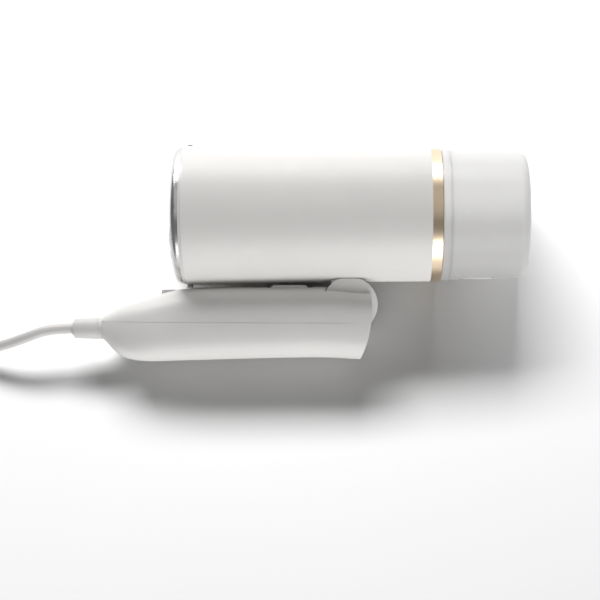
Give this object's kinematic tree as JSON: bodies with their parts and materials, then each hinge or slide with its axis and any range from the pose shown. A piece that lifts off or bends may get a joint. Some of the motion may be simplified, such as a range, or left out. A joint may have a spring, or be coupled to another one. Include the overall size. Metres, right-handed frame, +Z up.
{
  "type": "handheld garment steamer",
  "caption": "Folding handheld steamer: barrel with a perforated steam plate, pull-off water tank, side-hinged grip, button, trigger, mains cord and plug.",
  "frame": {"origin": "middle of the base of the steamer's own bounding box, on the floor it lies on, cord left out", "axes": "+X along the barrel from the steam plate to the water tank, +Y from the handle to the barrel across the floor, +Z up"},
  "size_m": [0.4001, 0.1402, 0.0748],
  "materials": {
    "housing_white": "satin pearl",
    "bezel_grey": "satin",
    "plate_metal": "brushed",
    "champagne_gold": "satin champagne",
    "nub_grey": "matte",
    "cast_alu": "cast",
    "silicone": "matte",
    "element_steel": "sheathed",
    "zinc_screw": "zinc plated",
    "phenolic": "matte",
    "shield_alu": "satin",
    "inner_plastic": "matte",
    "pump_case": "matte",
    "wire_cover": "satin",
    "hinge_steel": "turned",
    "tank_pearl": "milky translucent",
    "handle_grey": "fine matte",
    "board_green": "lacquered",
    "relief_grey": "matte",
    "cord_grey": "satin",
    "tie_black": "woven",
    "pin_brass": "polished"
  },
  "bodies": {
    "handle": {"handle_inner_shell": "handle_grey", "handle_outer_shell": "handle_grey", "hinge_pin": "hinge_steel", "hinge_washers": "hinge_steel", "circuit_board": "board_green", "board_parts": "phenolic", "trigger_switch": "phenolic", "button_switch": "phenolic", "trigger_pin": "hinge_steel", "trigger_spring": "hinge_steel", "cord_clamp": "inner_plastic", "clamp_screws": "zinc_screw", "handle_screws": "zinc_screw", "strain_relief": "relief_grey", "inner_lead": "cord_grey", "handle_wires": "wire_cover", "power_cord": "cord_grey", "plug_lead": "cord_grey", "cord_coil": "cord_grey", "cord_tie": "tie_black", "plug_body": "relief_grey", "plug_pins": "pin_brass"},
    "head": {"main_housing": "housing_white", "front_bezel": "bezel_grey", "accent_ring": "champagne_gold", "spacer_nubs": "nub_grey", "steam_plate": "plate_metal", "steam_chamber": "cast_alu", "plate_gasket": "silicone", "heating_element": "element_steel", "chamber_cover": "cast_alu", "cover_screws": "zinc_screw", "thermostat": "phenolic", "thermal_fuse": "element_steel", "heat_shield": "shield_alu", "inner_chassis": "inner_plastic", "pump_cradle": "silicone", "water_pump": "pump_case", "outlet_hose": "silicone", "inlet_hose": "silicone", "tank_dock": "inner_plastic", "dock_screws": "zinc_screw", "dock_seal": "silicone", "head_wires": "wire_cover", "hinge_plate": "inner_plastic", "hinge_screws": "zinc_screw", "hinge_barrel": "housing_white", "hinge_end_cap": "handle_grey"},
    "tank": {"tank_collar": "tank_pearl", "tank_shell": "tank_pearl", "tank_valve": "inner_plastic", "valve_spring": "hinge_steel", "intake_tube": "silicone", "fill_port": "inner_plastic", "flap_pin": "hinge_steel"},
    "plunger": {"valve_plunger": "inner_plastic"},
    "flap": {"fill_flap": "tank_pearl", "flap_seal": "silicone"},
    "trigger": {"steam_trigger": "handle_grey"},
    "button": {"power_button": "handle_grey"}
  },
  "joints": [
    {"name": "housing_fold", "type": "hinge", "parent": "handle", "child": "head", "pos_m": [0.02806, -0.02634, 0.02346], "axis": [-0.0135, 0.2654, -0.9641], "range_deg": [0, 100]},
    {"name": "tank_slide", "type": "slide", "parent": "head", "child": "tank", "axis": [0.9999, 0, -0.014], "range_m": [0, 0.055]},
    {"name": "fill_flap", "type": "hinge", "parent": "tank", "child": "flap", "pos_m": [0.08852, -0.01159, 0.02667], "axis": [-0.0135, 0.2654, -0.9641], "range_deg": [0, 90]},
    {"name": "trigger", "type": "hinge", "parent": "handle", "child": "trigger", "pos_m": [-0.01832, -0.02354, 0.02488], "axis": [-0.0135, 0.2654, -0.9641], "range_deg": [0, 4], "stiffness_Nm_per_rad": 1.5, "springref_deg": -5.73},
    {"name": "power_button", "type": "slide", "parent": "handle", "child": "button", "axis": [-0.0037, -0.9642, -0.2653], "range_m": [0, 0.0006], "stiffness_N_per_m": 1500, "springref_m": -0.0004},
    {"name": "valve_plunger", "type": "slide", "parent": "tank", "child": "plunger", "axis": [0.9999, 0, -0.014], "range_m": [0, 0.0015], "stiffness_N_per_m": 300, "springref_m": -0.001}
  ]
}
